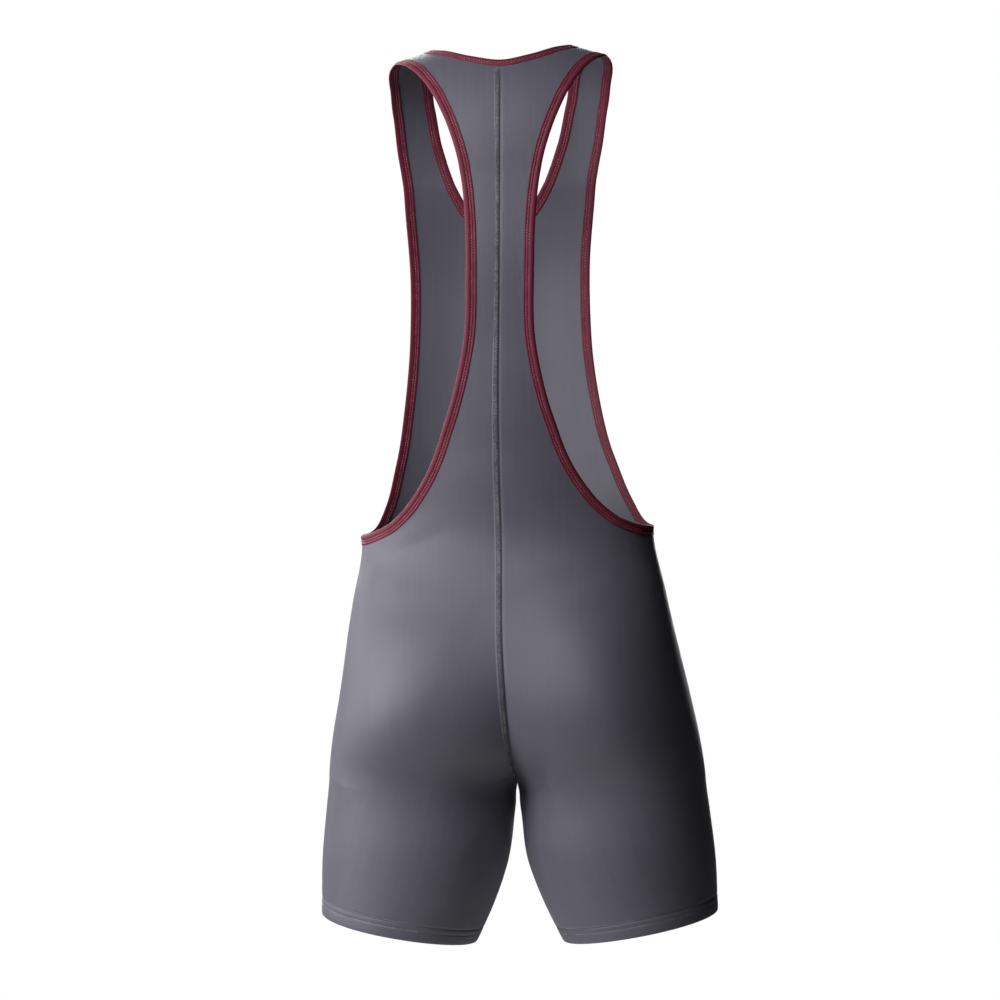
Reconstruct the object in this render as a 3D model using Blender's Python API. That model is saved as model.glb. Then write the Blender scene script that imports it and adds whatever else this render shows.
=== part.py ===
"""Athletics bodysuit: a sleeveless one-piece in stretch knit with deep armholes and short legs.

Worn form on a general figure, held by its shoulder straps. Metres, +Z up, front towards -Y.
The origin is midway between the straps at the height of the shoulder line.
"""

import math
from collections import namedtuple

import bpy
import numpy as np

# ---------------------------------------------------------------- driving sizes
CLOTH = 0.0012            # wall of the knit
SEAM_GAP = 0.0003         # between two neighbouring pieces
BINDING_WIDTH = 0.0095    # folded strip round the neck and the armholes
BINDING_PROUD = 0.0007    # how far the strip stands out on each side of the knit
BINDING_CROWN = 0.0002
EDGE_ROUND = 0.0008
HEM_DEPTH = 0.0160        # turned leg hem, from its stitching to its edge
HEM_PROUD = 0.0005

CAP_BASE = -0.120         # height where the shoulders start to close over
CAP_HEIGHT = 0.131        # from there to the top of the shoulder line at the neck
CAP_ROUND = 2.2
CROTCH = -0.712
SIDE_WAIST = -0.4745      # lowest point of the armhole, on the side seam
HEM_INNER = -0.869
HEM_OUTER = -0.8385
HEM_BACK_DROP = 0.003     # how far the hem hangs lower behind and is lifted in front

NECK_AT_SHOULDER = 0.0755     # half-width of the neckline on the shoulder seam
STRAP_AT_SHOULDER = 0.0965    # outer end of the shoulder seam
NECK_BACK = -0.0192
NECK_FRONT = -0.172
SEAM_BLEND = 0.022            # width over which the wall turns into the centre seam's own direction

COLUMNS = 12

# ---------------------------------------------------------------- the general figure
# One half of the body: a row for each level, with the centre of its section (centre_x, centre_y),
# the reach from there to the side, to the inner side at the back and at the front, and the depths.
FIGURE_COLUMNS = (
    "z", "centre_x", "side", "inner_back", "inner_front", "centre_y", "back", "front", "roundness",
)
FIGURE = (
    (-0.120, 0.0000, 0.1850, 0.3000, 0.3000, 0.000, 0.105, 0.108, 2.20),
    (-0.200, 0.0000, 0.1870, 0.3000, 0.3000, 0.000, 0.112, 0.121, 2.20),
    (-0.300, 0.0000, 0.1730, 0.3000, 0.3000, 0.000, 0.102, 0.116, 2.20),
    (-0.400, 0.0000, 0.1510, 0.3000, 0.3000, 0.000, 0.086, 0.107, 2.25),
    (-0.475, 0.0000, 0.1415, 0.2600, 0.3000, 0.000, 0.084, 0.103, 2.30),
    (-0.530, 0.0200, 0.1320, 0.2300, 0.2800, 0.000, 0.101, 0.105, 2.25),
    (-0.580, 0.0450, 0.1165, 0.1900, 0.2200, 0.000, 0.121, 0.106, 2.20),
    (-0.630, 0.0660, 0.1052, 0.1450, 0.1650, 0.000, 0.130, 0.104, 2.15),
    (-0.670, 0.0800, 0.0988, 0.1150, 0.1200, 0.000, 0.123, 0.100, 2.15),
    (-0.700, 0.0880, 0.0948, 0.0960, 0.0970, 0.000, 0.112, 0.097, 2.15),
    (-0.712, 0.0905, 0.0930, 0.0903, 0.0903, 0.000, 0.108, 0.096, 2.15),
    (-0.735, 0.0948, 0.0913, 0.0913, 0.0913, 0.000, 0.102, 0.095, 2.12),
    (-0.790, 0.1018, 0.0898, 0.0898, 0.0898, 0.000, 0.094, 0.093, 2.10),
    (-0.830, 0.1090, 0.0835, 0.0830, 0.0830, 0.000, 0.088, 0.089, 2.08),
    (-0.880, 0.1215, 0.0715, 0.0715, 0.0715, 0.000, 0.081, 0.083, 2.05),
)

# Line where the knit meets the armhole binding, from the shoulder to the side seam.
ARMHOLE_BACK = (
    # x, z
    (0.0850, -0.0080),
    (0.0745, -0.0165),
    (0.0655, -0.0275),
    (0.0575, -0.0400),
    (0.0455, -0.0650),
    (0.0365, -0.0900),
    (0.0292, -0.1210),
    (0.0245, -0.1620),
    (0.0230, -0.2220),
    (0.0247, -0.2830),
    (0.0295, -0.3116),
    (0.0363, -0.3403),
    (0.0453, -0.3690),
    (0.0600, -0.4073),
    (0.0745, -0.4312),
    (0.0905, -0.4503),
    (0.1080, -0.4640),
    (0.1250, -0.4712),
)
ARMHOLE_FRONT = (
    # x, z
    (0.1010, -0.0210),
    (0.0985, -0.0450),
    (0.0925, -0.0900),
    (0.0860, -0.1400),
    (0.0815, -0.2000),
    (0.0820, -0.2700),
    (0.0890, -0.3400),
    (0.1015, -0.4000),
    (0.1160, -0.4430),
    (0.1290, -0.4665),
)

# Line where the knit meets the neck binding, from the shoulder to the centre seam.
NECKLINE_BACK = (
    # x, z
    (0.0620, -0.0024),
    (0.0337, -0.0125),
)
NECKLINE_FRONT = (
    # x, z
    (0.0785, -0.0170),
    (0.0745, -0.0450),
    (0.0660, -0.0850),
    (0.0530, -0.1220),
    (0.0345, -0.1520),
    (0.0160, -0.1680),
)

# How the standing pose moves each level: sideways, turned about the vertical, and one side raised.
POSE_COLUMNS = ("z", "shift_x", "turn_degrees", "lean")
POSE = (
    (0.020, 0.0010, 0.0, 0.040),
    (-0.200, 0.0020, 0.0, 0.038),
    (-0.380, 0.0000, 1.5, 0.036),
    (-0.475, -0.0055, 3.6, 0.034),
    (-0.560, -0.0085, 4.2, 0.022),
    (-0.630, -0.0125, 4.2, 0.010),
    (-0.700, -0.0148, 4.0, 0.000),
    (-0.800, -0.0168, 3.0, 0.008),
    (-0.880, -0.0180, 2.0, 0.015),
)

# Rows of each panel by stretch, from the shoulder seam down: neck, bib, seat and leg.
SIDE_NAME = {1: "back", -1: "front"}
STRETCHES = {"back": (7, 20, 15, 8), "front": (13, 15, 15, 8)}
BIB_FOOT = -0.505         # on the centre seam, a little under the end of the armhole
STRAP_SHARE = {"back": 0.19, "front": 0.42}     # part of the armhole that runs beside the neckline
SEAT_FOOT = CROTCH + 0.012                      # on the side seam, level with the crotch


# ---------------------------------------------------------------- curves
def smooth_read(keys, values, at):
    """A smooth curve through the table's values, read at any key."""
    keys = np.asarray(keys, float)
    values = np.asarray(values, float)
    if keys[0] > keys[-1]:
        keys, values = keys[::-1], values[::-1]
    slope = np.gradient(values, keys, axis=0)
    at = float(min(max(at, keys[0]), keys[-1]))
    i = int(min(max(np.searchsorted(keys, at) - 1, 0), len(keys) - 2))
    step = keys[i + 1] - keys[i]
    t = (at - keys[i]) / step
    return (
        (2 * t**3 - 3 * t**2 + 1) * values[i]
        + (t**3 - 2 * t**2 + t) * step * slope[i]
        + (3 * t**2 - 2 * t**3) * values[i + 1]
        + (t**3 - t**2) * step * slope[i + 1]
    )


def table_reader(name, columns, table):
    """Reads a table at any height, the first column, as a row with the other columns' names."""
    row = namedtuple(name, columns[1:])
    heights = [line[0] for line in table]
    values = [line[1:] for line in table]
    return lambda at: row(*smooth_read(heights, values, at))


figure_at = table_reader("Section", FIGURE_COLUMNS, FIGURE)
pose_at = table_reader("Stance", POSE_COLUMNS, POSE)


# ---------------------------------------------------------------- points on the figure
# A point is given by its station (its height, carried on over the shoulder cap as an arc)
# and its bearing round the section: 0 at the side, +90 degrees at the back, -90 at the front.
def section_gauge(x, y, section):
    dx = x - section.centre_x
    dy = y - section.centre_y
    inner = section.inner_back if dy >= 0 else section.inner_front
    across = abs(dx) / (section.side if dx >= 0 else inner)
    along = abs(dy) / (section.back if dy >= 0 else section.front)
    power = section.roundness
    return (across**power + along**power) ** (1 / power)


def on_figure(station, bearing):
    section = figure_at(min(station, CAP_BASE))
    centre_x, centre_y = section.centre_x, section.centre_y
    c, s = math.cos(bearing), math.sin(bearing)
    reach = 1 / section_gauge(centre_x + c, centre_y + s, section)
    if station <= CAP_BASE:
        return np.array([centre_x + reach * c, centre_y + reach * s, station])
    climb = (station - CAP_BASE) / CAP_HEIGHT
    narrow = math.cos(climb) ** (2 / CAP_ROUND)
    height = CAP_BASE + CAP_HEIGHT * math.sin(climb) ** (2 / CAP_ROUND)
    return np.array([centre_x + narrow * reach * c, centre_y + narrow * reach * s, height])


def address_of(point):
    """Station and bearing of the figure's point under or over a given one."""
    x, y, z = point
    section = figure_at(min(z, CAP_BASE))
    bearing = math.atan2(y - section.centre_y, x - section.centre_x)
    if bearing < -math.pi * 0.999:
        bearing += 2 * math.pi
    if z <= CAP_BASE:
        return z, bearing
    half = CAP_ROUND / 2
    flat = section_gauge(x, y, section) ** half
    up = ((z - CAP_BASE) / CAP_HEIGHT) ** half
    return CAP_BASE + CAP_HEIGHT * math.atan2(up, flat), bearing


def onto_figure(point):
    return on_figure(*address_of(point))


def address_from_view(x, z, face):
    """Station and bearing of the point seen at x, z on the back (face 1) or the front (face -1)."""
    section = figure_at(min(z, CAP_BASE))
    narrow = 1.0
    station = z
    if z > CAP_BASE:
        share = min((z - CAP_BASE) / CAP_HEIGHT, 1.0)
        narrow = (1 - share**CAP_ROUND) ** (1 / CAP_ROUND)
        station = CAP_BASE + CAP_HEIGHT * math.asin(share ** (CAP_ROUND / 2))
    inner = section.inner_back if face > 0 else section.inner_front
    dx = x - section.centre_x
    across = abs(dx) / ((section.side if dx >= 0 else inner) * narrow)
    depth = (section.back if face > 0 else section.front) * narrow
    power = section.roundness
    dy = depth * max(1 - across**power, 0.0) ** (1 / power)
    return station, math.atan2(face * dy, dx)


def on_shoulder(x):
    """Station on the shoulder seam at a distance x from the middle."""
    narrow = x / figure_at(CAP_BASE).side
    climb = math.acos(narrow ** (CAP_ROUND / 2))
    return CAP_BASE + CAP_HEIGHT * climb


def surface_normal(station, bearing):
    step = 0.0006
    turn = math.radians(0.4)
    up = on_figure(station + step, bearing) - on_figure(station - step, bearing)
    round_body = on_figure(station, bearing + turn) - on_figure(station, bearing - turn)
    normal = np.cross(round_body, up)
    return normal / np.linalg.norm(normal)


def posed(point):
    x, y, z = point
    stance = pose_at(z)
    turn = math.radians(stance.turn_degrees)
    return np.array([
        stance.shift_x + x * math.cos(turn) + y * math.sin(turn),
        y * math.cos(turn) - x * math.sin(turn),
        z - stance.lean * x,
    ])


# ---------------------------------------------------------------- edges of the panels
def evenly_along(addresses, count):
    """count + 1 addresses at even distances along a line of closely set ones."""
    addresses = np.array(addresses)
    points = np.array([on_figure(*a) for a in addresses])
    run = np.concatenate([[0], np.cumsum(np.linalg.norm(np.diff(points, axis=0), axis=1))])
    wanted = np.linspace(0, run[-1], count + 1)
    return [tuple(np.interp(w, run, addresses[:, k]) for k in (0, 1)) for w in wanted]


def blend(a, b, share):
    return a + (b - a) * share


def smooth_line(before, knots, after, count=240):
    """Closely set addresses on a smooth line through some knots, leading on from the neighbouring ones."""
    knots = [before] + knots + [after]
    spots = np.array([on_figure(*k) for k in knots])
    run = np.concatenate([[0], np.cumsum(np.linalg.norm(np.diff(spots, axis=0), axis=1))])
    return [tuple(smooth_read(run, knots, at)) for at in np.linspace(run[1], run[-2], count)]


def seen_knots(table, face):
    return [address_from_view(x, z, face) for x, z in table]


def neckline(face):
    """From the shoulder seam to the centre seam."""
    tables = {1: NECKLINE_BACK, -1: NECKLINE_FRONT}
    depth = NECK_BACK if face > 0 else NECK_FRONT
    knots = [(on_shoulder(NECK_AT_SHOULDER), 0.0)]
    knots += seen_knots(tables[face], face)
    knots += [address_from_view(0.0, depth, face)]
    past_centre = (knots[-2][0], face * math.pi - knots[-2][1])
    return smooth_line(seen_knots(tables[-face], -face)[0], knots, past_centre)


def centre_seam(face, top, foot, count):
    """From one height to another on the body's middle plane."""
    line = []
    for share in np.linspace(0, 1, 160):
        # closer together towards the foot, where the seam turns under
        height = top + (foot - top) * math.sin(share * math.pi / 2)
        line.append(address_from_view(SEAM_GAP / 2, height, face))
    line[-1] = (line[-1][0], face * math.pi if foot <= CROTCH else line[-1][1])
    return evenly_along(line, count)


def armhole(face):
    """From the shoulder seam to the side seam."""
    tables = {1: ARMHOLE_BACK, -1: ARMHOLE_FRONT}
    knots = [(on_shoulder(STRAP_AT_SHOULDER), 0.0)]
    knots += seen_knots(tables[face], face)
    knots += [(SIDE_WAIST, 0.0)]
    other = seen_knots(tables[-face], -face)
    return smooth_line(other[0], knots, other[-1])


def straight_down(bearing, top, foot, count):
    return [(blend(top, foot, share), bearing) for share in np.linspace(0, 1, count + 1)]


def panel_edges(face):
    """Row ends of one panel: the inner line (neck, centre seam, inseam) and the outer one."""
    neck, bib, seat, leg = STRETCHES[SIDE_NAME[face]]
    share = STRAP_SHARE[SIDE_NAME[face]]
    neck_depth = NECK_BACK if face > 0 else NECK_FRONT
    inner = evenly_along(neckline(face), neck)[:-1]
    inner += centre_seam(face, neck_depth, BIB_FOOT, bib)
    inner += centre_seam(face, BIB_FOOT, CROTCH, seat)[1:]
    inner += straight_down(face * math.pi, CROTCH, HEM_INNER + HEM_DEPTH, leg)[1:]
    hole = armhole(face)
    split = int(share * len(hole))
    outer = evenly_along(hole[: split + 1], neck)
    outer += evenly_along(hole[split:], bib)[1:]
    outer += straight_down(0.0, SIDE_WAIST, SEAT_FOOT, seat)[1:]
    outer += straight_down(0.0, SEAT_FOOT, HEM_OUTER + HEM_DEPTH, leg)[1:]
    return inner, outer


def set_back(address, face, from_side):
    """Moves an address half a seam gap off the side seam or the inseam."""
    station, bearing = address
    x, y, _ = on_figure(*address)
    section = figure_at(min(station, CAP_BASE))
    turn = SEAM_GAP / 2 / math.hypot(x - section.centre_x, y - section.centre_y)
    if from_side and abs(bearing) < turn:
        return station, face * turn
    if not from_side and abs(bearing) > math.pi - turn:
        return station, face * (math.pi - turn)
    return station, bearing


def seam_normals(inner, first, last, face):
    """Directions out of the cloth at the centre seam, within the middle plane."""
    points = np.array([on_figure(*a) for a in inner])
    found = {}
    for i in range(first, last + 1):
        before = points[max(i - 1, first)]
        after = points[min(i + 1, last)]
        along = after - before
        if i == last:
            along = np.array([0.0, -float(face), 0.0])
        normal = np.array([0.0, -along[2] * face, along[1] * face])
        found[i] = normal / np.linalg.norm(normal)
    return found


def row_address(start, end, share, down_leg):
    """A point along a panel's row. down_leg is 0 at the crotch and above it, and 1 at the hem."""
    eased = (1 - math.cos(math.pi * share)) / 2
    bearing = blend(start[1], end[1], share)
    station = blend(start[0], end[0], eased) - HEM_BACK_DROP * down_leg * math.sin(bearing)
    return station, bearing


def panel_grid(face):
    """Inner and outer points of a left panel, row by row, before the pose."""
    inner, outer = panel_edges(face)
    neck, bib, seat, leg = STRETCHES[SIDE_NAME[face]]
    crotch_row = neck + bib + seat
    seams = seam_normals(inner, neck, crotch_row, face)
    under, over = [], []
    for i, (start, end) in enumerate(zip(inner, outer)):
        start = set_back(start, face, from_side=i == 0)
        start = set_back(start, face, from_side=False) if i >= crotch_row else start
        end = set_back(end, face, from_side=True)
        row_under, row_over = [], []
        for share in np.linspace(0, 1, COLUMNS + 1):
            station, bearing = row_address(start, end, share, max(i - crotch_row, 0) / leg)
            if i == 0:
                station, bearing = shoulder_gap(blend(NECK_AT_SHOULDER, STRAP_AT_SHOULDER, share), face)
            spot = on_figure(station, bearing)
            normal = surface_normal(station, bearing)
            if i in seams:
                weight = min(max((spot[0] - SEAM_GAP / 2) / SEAM_BLEND, 0.0), 1.0)
                weight = weight * weight * (3 - 2 * weight)
                normal = blend(seams[i], normal, weight)
                normal /= np.linalg.norm(normal)
            row_under.append(spot)
            row_over.append(spot + normal * CLOTH)
        under.append(row_under)
        over.append(row_over)
    return np.array(under), np.array(over)


def shoulder_gap(x, face):
    station = on_shoulder(x)
    return station, face * SEAM_GAP / 2 / x


# ---------------------------------------------------------------- solids
def cloth_material(name, colour, roughness):
    material = bpy.data.materials.new(name)
    material.use_nodes = True
    shader = material.node_tree.nodes["Principled BSDF"]
    shader.inputs["Base Color"].default_value = (*colour, 1.0)
    shader.inputs["Roughness"].default_value = roughness
    shader.inputs["Metallic"].default_value = 0.0
    material.diffuse_color = (*colour, 1.0)
    return material


def add_object(name, points, faces, side, material, collection):
    """Makes the mesh of a left piece, or its mirror for side -1, and sets it in the pose."""
    if side < 0:
        faces = [tuple(reversed(face)) for face in faces]
    placed = [posed((x * side, y, z)) for x, y, z in points]
    mesh = bpy.data.meshes.new(name)
    mesh.from_pydata([tuple(p) for p in placed], [], faces)
    mesh.update()
    mesh.shade_smooth()
    mesh.set_sharp_from_angle(angle=math.radians(40))
    mesh.materials.append(material)
    piece = bpy.data.objects.new(name, mesh)
    collection.objects.link(piece)
    return piece


def wall_faces(rows, columns, face):
    """Quads of a closed wall over a grid: the inner skin, the outer skin and the four edges."""
    layer = (rows + 1) * (columns + 1)

    def at(i, j, level):
        return level * layer + i * (columns + 1) + j

    faces = []
    for i in range(rows):
        for j in range(columns):
            corners = ((i, j), (i + 1, j), (i + 1, j + 1), (i, j + 1))
            faces.append(tuple(at(a, b, 0) for a, b in reversed(corners)))
            faces.append(tuple(at(a, b, 1) for a, b in corners))
    rim = [(i, 0) for i in range(rows)]
    rim += [(rows, j) for j in range(columns)]
    rim += [(i, columns) for i in range(rows, 0, -1)]
    rim += [(0, j) for j in range(columns, 0, -1)]
    for here, after in zip(rim, rim[1:] + rim[:1]):
        faces.append((at(*here, 0), at(*after, 0), at(*after, 1), at(*here, 1)))
    return faces if face < 0 else [tuple(reversed(f)) for f in faces]


def make_panel(name, face, side, material, collection):
    under, over = panel_grid(face)
    rows, columns = under.shape[0] - 1, under.shape[1] - 1
    points = np.concatenate([under.reshape(-1, 3), over.reshape(-1, 3)])
    return add_object(name, points, wall_faces(rows, columns, face), side, material, collection)


def make_band(name, line, normals, outward, profile, side, material, collection):
    """A closed band: its profile (distance off the line, height over the figure) at each point of a ring."""
    count = len(line)
    points = []
    for i in range(count):
        for distance, height in profile:
            flat = line[i] + outward[i] * distance
            spot = flat if distance <= SEAM_GAP else onto_line_side(flat)
            points.append(spot + normals[i] * height)
    corners = len(profile)
    faces = []
    for i in range(count):
        after = (i + 1) % count
        for k in range(corners):
            turn = (k + 1) % corners
            faces.append((i * corners + k, i * corners + turn, after * corners + turn, after * corners + k))
    return add_object(name, points, faces, side, material, collection)


def onto_line_side(point):
    """The figure's point under a given one, on either half of the body."""
    side = -1.0 if point[0] < 0 and point[2] > CROTCH else 1.0
    spot = onto_figure((point[0] * side, point[1], point[2]))
    return np.array([spot[0] * side, spot[1], spot[2]])


def ring_frame(line, normals, towards):
    """Directions off a closed line, within the surface, on the side given by towards(i)."""
    outward = []
    count = len(line)
    for i in range(count):
        along = line[(i + 1) % count] - line[i - 1]
        across = np.cross(along, normals[i])
        across /= np.linalg.norm(across)
        outward.append(across * math.copysign(1.0, np.dot(across, towards(i))))
    return outward


def binding_profile():
    low = -BINDING_PROUD
    high = CLOTH + BINDING_PROUD
    return (
        (SEAM_GAP, low),
        (SEAM_GAP, high),
        (BINDING_WIDTH * 0.55, high + BINDING_CROWN),
        (BINDING_WIDTH - EDGE_ROUND, high - BINDING_CROWN),
        (BINDING_WIDTH, CLOTH / 2),
        (BINDING_WIDTH - EDGE_ROUND, low + BINDING_CROWN),
    )


def hem_profile():
    low = -HEM_PROUD
    high = CLOTH + HEM_PROUD
    return (
        (SEAM_GAP, low),
        (SEAM_GAP, high),
        (HEM_DEPTH - EDGE_ROUND, high),
        (HEM_DEPTH, CLOTH / 2),
        (HEM_DEPTH - EDGE_ROUND, low),
    )


def facing_out(profile, line, normals, outward):
    """The profile's order that makes the band's faces point out of it."""
    along = line[1] - line[0]
    return profile if np.dot(np.cross(outward[0], normals[0]), along) < 0 else tuple(reversed(profile))


def make_armhole_binding(name, side, material, collection):
    addresses = []
    for face in (1, -1):
        neck, bib, _, _ = STRETCHES[SIDE_NAME[face]]
        run = panel_edges(face)[1][: neck + bib + 1]
        addresses += run[:-1] if face > 0 else run[:0:-1]
    line = [on_figure(*a) for a in addresses]
    normals = [surface_normal(*a) for a in addresses]
    middle = np.mean(line, axis=0) + np.array([0.12, 0.0, 0.0])
    outward = ring_frame(line, normals, lambda i: middle - line[i])
    profile = facing_out(binding_profile(), line, normals, outward)
    return make_band(name, line, normals, outward, profile, side, material, collection)


def make_neck_binding(name, material, collection):
    half = []
    for face in (1, -1):
        neck_rows = STRETCHES[SIDE_NAME[face]][0]
        run = panel_edges(face)[0][: neck_rows + 1]
        half += run[::-1] if face > 0 else run[1:]
    line, normals = [], []
    for mirror in (1.0, -1.0):
        stretch = half if mirror > 0 else half[-2:0:-1]
        for address in stretch:
            flip = np.array([mirror, 1.0, 1.0])
            spot = on_figure(*address) * flip
            normal = surface_normal(*address) * flip
            if abs(spot[0]) < SEAM_GAP:
                spot[0] = 0.0
                normal[0] = 0.0
                normal /= np.linalg.norm(normal)
            line.append(spot)
            normals.append(normal)
    above = np.array([0.0, 0.0, 0.05])
    outward = ring_frame(line, normals, lambda i: above - line[i])
    profile = facing_out(binding_profile(), line, normals, outward)
    return make_band(name, line, normals, outward, profile, 1, material, collection)


def make_leg_hem(name, side, material, collection):
    addresses = []
    for face in (1, -1):
        start, end = (edge[-1] for edge in panel_edges(face))
        shares = np.linspace(0, 1, COLUMNS + 1)
        row = [row_address(start, end, share, 1.0) for share in shares]
        addresses += row[:-1] if face > 0 else row[:0:-1]
    line = [on_figure(*a) for a in addresses]
    normals = [surface_normal(*a) for a in addresses]
    outward = ring_frame(line, normals, lambda i: np.array([0.0, 0.0, -1.0]))
    profile = facing_out(hem_profile(), line, normals, outward)
    return make_band(name, line, normals, outward, profile, side, material, collection)


# ---------------------------------------------------------------- the garment
def main():
    for old in list(bpy.data.objects):
        bpy.data.objects.remove(old, do_unlink=True)
    collection = bpy.data.collections.new("athletics_bodysuit")
    bpy.context.scene.collection.children.link(collection)
    knit = cloth_material("grey_knit", (0.150, 0.140, 0.168), 0.55)
    strip = cloth_material("maroon_binding", (0.220, 0.018, 0.045), 0.60)
    for side, word in ((1, "left"), (-1, "right")):
        make_panel(f"back_{word}", 1, side, knit, collection)
        make_panel(f"front_{word}", -1, side, knit, collection)
        make_leg_hem(f"leg_hem_{word}", side, knit, collection)
        make_armhole_binding(f"armhole_binding_{word}", side, strip, collection)
    make_neck_binding("neck_binding", strip, collection)


main()
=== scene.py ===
import math
from collections import defaultdict, namedtuple

import bpy
import numpy as np
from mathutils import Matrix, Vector


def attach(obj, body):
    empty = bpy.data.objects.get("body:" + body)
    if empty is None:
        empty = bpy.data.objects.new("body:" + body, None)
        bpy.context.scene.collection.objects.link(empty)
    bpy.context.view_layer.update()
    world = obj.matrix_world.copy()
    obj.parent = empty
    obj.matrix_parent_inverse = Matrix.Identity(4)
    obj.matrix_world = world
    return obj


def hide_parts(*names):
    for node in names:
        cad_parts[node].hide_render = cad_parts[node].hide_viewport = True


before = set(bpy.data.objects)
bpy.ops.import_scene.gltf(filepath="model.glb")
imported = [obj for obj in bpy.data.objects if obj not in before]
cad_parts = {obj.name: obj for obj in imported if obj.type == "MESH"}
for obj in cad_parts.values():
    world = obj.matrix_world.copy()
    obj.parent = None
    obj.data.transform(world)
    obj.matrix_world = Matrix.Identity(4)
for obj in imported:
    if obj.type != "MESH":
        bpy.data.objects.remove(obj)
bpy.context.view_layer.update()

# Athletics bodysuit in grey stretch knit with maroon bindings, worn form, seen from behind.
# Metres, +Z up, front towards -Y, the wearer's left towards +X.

# ---- the cut
CLOTH = 0.0012  # height of the knit's outer face over the figure
KNIT_THICK = 0.0007  # the knit itself
SEAM_GAP = 0.00002  # the panels meet at their seams
HEM_DEPTH = 0.0160  # turned leg hem, from its stitching to its edge

CAP_BASE = -0.120  # height where the shoulders start to close over
CAP_HEIGHT = 0.131  # from there to the top of the shoulder line at the neck
CAP_ROUND = 2.2
CROTCH = -0.712
SIDE_WAIST = -0.4745  # lowest point of the armhole, on the side seam
HEM_INNER = -0.869
HEM_OUTER = -0.8385
HEM_BACK_DROP = 0.003  # how far the hem hangs lower behind and is lifted in front

NECK_AT_SHOULDER = 0.0755  # half-width of the neckline on the shoulder seam
STRAP_AT_SHOULDER = 0.0965  # outer end of the shoulder seam
SEAM_BLEND = 0.022  # width over which the wall turns into the centre seam's own direction
BIB_FOOT = -0.505  # on the centre seam, a little under the end of the armhole
SEAT_FOOT = CROTCH + 0.012  # on the side seam, level with the crotch

BACK, FRONT = 1, -1
LEFT, RIGHT = 1, -1
FACE_WORD = {BACK: "back", FRONT: "front"}
SIDE_WORD = {LEFT: "left", RIGHT: "right"}
NECK_DEPTH = {BACK: -0.0192, FRONT: -0.172}
STRAP_SHARE = {BACK: 0.19, FRONT: 0.42}  # part of the armhole that runs beside the neckline

# One half of the body: a row for each level, with its section's centre_x (centre_y is 0), the reach
# from there to the side, to the inner side at the back and at the front, and the depths.
FIGURE_COLUMNS = ("z", "centre_x", "side", "inner_back", "inner_front", "back", "front", "roundness")
FIGURE = (
    (-0.120, 0.0000, 0.1850, 0.3000, 0.3000, 0.105, 0.108, 2.20),
    (-0.200, 0.0000, 0.1870, 0.3000, 0.3000, 0.112, 0.121, 2.20),
    (-0.300, 0.0000, 0.1730, 0.3000, 0.3000, 0.102, 0.116, 2.20),
    (-0.400, 0.0000, 0.1510, 0.3000, 0.3000, 0.086, 0.107, 2.25),
    (-0.475, 0.0000, 0.1415, 0.2600, 0.3000, 0.084, 0.103, 2.30),
    (-0.530, 0.0200, 0.1320, 0.2300, 0.2800, 0.101, 0.105, 2.25),
    (-0.580, 0.0450, 0.1165, 0.1900, 0.2200, 0.121, 0.106, 2.20),
    (-0.630, 0.0660, 0.1052, 0.1450, 0.1650, 0.130, 0.104, 2.15),
    (-0.670, 0.0800, 0.0988, 0.1150, 0.1200, 0.123, 0.100, 2.15),
    (-0.700, 0.0880, 0.0948, 0.0960, 0.0970, 0.112, 0.097, 2.15),
    (-0.712, 0.0905, 0.0930, 0.0903, 0.0903, 0.108, 0.096, 2.15),
    (-0.735, 0.0948, 0.0913, 0.0913, 0.0913, 0.102, 0.095, 2.12),
    (-0.790, 0.1018, 0.0898, 0.0898, 0.0898, 0.094, 0.093, 2.10),
    (-0.830, 0.1090, 0.0835, 0.0830, 0.0830, 0.088, 0.089, 2.08),
    (-0.880, 0.1215, 0.0715, 0.0715, 0.0715, 0.081, 0.083, 2.05),
)

# Line where the knit meets the armhole binding, as (x, z) from the shoulder to the side seam.
ARMHOLE = {
    BACK: (
        (0.0850, -0.0080), (0.0745, -0.0165), (0.0655, -0.0275), (0.0575, -0.0400),
        (0.0455, -0.0650), (0.0365, -0.0900), (0.0292, -0.1210), (0.0245, -0.1620),
        (0.0230, -0.2220), (0.0247, -0.2830), (0.0295, -0.3116), (0.0363, -0.3403),
        (0.0453, -0.3690), (0.0600, -0.4073), (0.0745, -0.4312), (0.0905, -0.4503),
        (0.1080, -0.4640), (0.1250, -0.4712),
    ),
    FRONT: (
        (0.1010, -0.0210), (0.0985, -0.0450), (0.0925, -0.0900), (0.0860, -0.1400),
        (0.0815, -0.2000), (0.0820, -0.2700), (0.0890, -0.3400), (0.1015, -0.4000),
        (0.1160, -0.4430), (0.1290, -0.4665),
    ),
}

# Line where the knit meets the neck binding, as (x, z) from the shoulder to the centre seam.
NECKLINE = {
    BACK: (
        (0.0620, -0.0024), (0.0337, -0.0125),
    ),
    FRONT: (
        (0.0785, -0.0170), (0.0745, -0.0450), (0.0660, -0.0850), (0.0530, -0.1220),
        (0.0345, -0.1520), (0.0160, -0.1680),
    ),
}

# How the standing pose moves each level: sideways, turned about the vertical, and one side raised.
POSE_COLUMNS = ("z", "shift_x", "turn_degrees", "lean")
POSE = (
    (0.020, 0.0010, 0.0, 0.040),
    (-0.200, 0.0020, 0.0, 0.038),
    (-0.380, 0.0000, 1.5, 0.036),
    (-0.475, -0.0055, 3.6, 0.034),
    (-0.560, -0.0085, 4.2, 0.022),
    (-0.630, -0.0125, 4.2, 0.010),
    (-0.700, -0.0148, 4.0, 0.000),
    (-0.800, -0.0168, 3.0, 0.008),
    (-0.880, -0.0180, 2.0, 0.015),
)

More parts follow.
